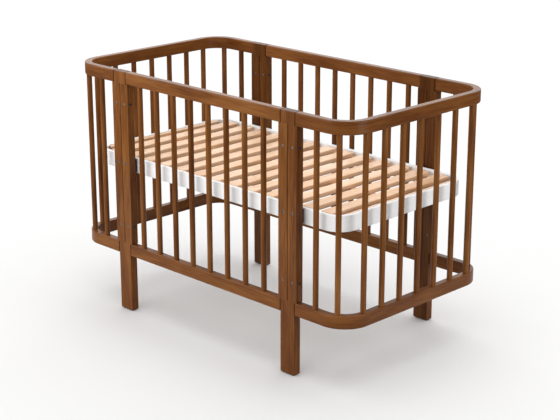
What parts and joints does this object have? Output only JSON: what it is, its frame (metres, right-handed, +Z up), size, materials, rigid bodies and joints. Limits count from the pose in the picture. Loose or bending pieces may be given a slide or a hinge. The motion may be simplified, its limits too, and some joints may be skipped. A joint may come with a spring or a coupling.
{
  "type": "baby crib",
  "caption": "Free-standing wooden baby crib with round-cornered ends, upright round bars on every side, four square legs and a height-adjustable slatted mattress base.",
  "frame": {"origin": "middle of the footprint on the floor", "axes": "+X along the length, +Y across the width towards the rear long side, +Z up"},
  "size_m": [1.27, 0.674, 0.843],
  "materials": {
    "stained_rail": "walnut-stained hardwood, satin varnish",
    "stained_bar": "walnut-stained hardwood dowel, satin varnish",
    "stained_post": "walnut-stained hardwood, satin varnish",
    "pale_beech": "raw pale beech, sanded",
    "white_lacquer": "white lacquered bent plywood",
    "black_steel": "black oxide steel",
    "zinc_steel": "dull grey zinc-plated steel",
    "dark_felt": "dark brown glide"
  },
  "bodies": {
    "frame": {"side_top_rail_front": "stained_rail", "side_low_rail_front": "stained_rail", "side_top_rail_rear": "stained_rail", "side_low_rail_rear": "stained_rail", "end_top_rail_left": "stained_rail", "end_low_rail_left": "stained_rail", "end_top_rail_right": "stained_rail", "end_low_rail_right": "stained_rail", "side_bar_front_1": "stained_bar", "side_bar_front_2": "stained_bar", "side_bar_front_3": "stained_bar", "side_bar_front_4": "stained_bar", "side_bar_front_5": "stained_bar", "side_bar_front_6": "stained_bar", "side_bar_front_7": "stained_bar", "side_bar_front_8": "stained_bar", "side_bar_rear_1": "stained_bar", "side_bar_rear_2": "stained_bar", "side_bar_rear_3": "stained_bar", "side_bar_rear_4": "stained_bar", "side_bar_rear_5": "stained_bar", "side_bar_rear_6": "stained_bar", "side_bar_rear_7": "stained_bar", "side_bar_rear_8": "stained_bar", "end_bars_left": "stained_bar", "end_bars_right": "stained_bar", "leg_front_left": "stained_post", "side_stile_front_left": "stained_post", "leg_front_right": "stained_post", "side_stile_front_right": "stained_post", "leg_rear_left": "stained_post", "side_stile_rear_left": "stained_post", "leg_rear_right": "stained_post", "side_stile_rear_right": "stained_post", "rail_dowels": "pale_beech", "panel_bolts": "black_steel", "cross_dowels": "zinc_steel", "base_bolts": "zinc_steel", "foot_glides": "dark_felt"},
    "mattress_base": {"base_band": "white_lacquer", "base_brackets": "black_steel", "base_ledge_front": "pale_beech", "base_ledge_rear": "pale_beech", "base_centre_beam": "pale_beech", "base_end_board_left": "pale_beech", "base_end_board_right": "pale_beech", "base_slat_1": "pale_beech", "base_slat_2": "pale_beech", "base_slat_3": "pale_beech", "base_slat_4": "pale_beech", "base_slat_5": "pale_beech", "base_slat_6": "pale_beech", "base_slat_7": "pale_beech", "base_slat_8": "pale_beech", "base_slat_9": "pale_beech", "base_slat_10": "pale_beech", "base_slat_11": "pale_beech", "base_slat_12": "pale_beech", "base_slat_13": "pale_beech"}
  },
  "joints": [
    {"name": "base_height", "type": "slide", "parent": "frame", "child": "mattress_base", "axis": [0, 0, 1], "range_m": [-0.221, 0]}
  ]
}
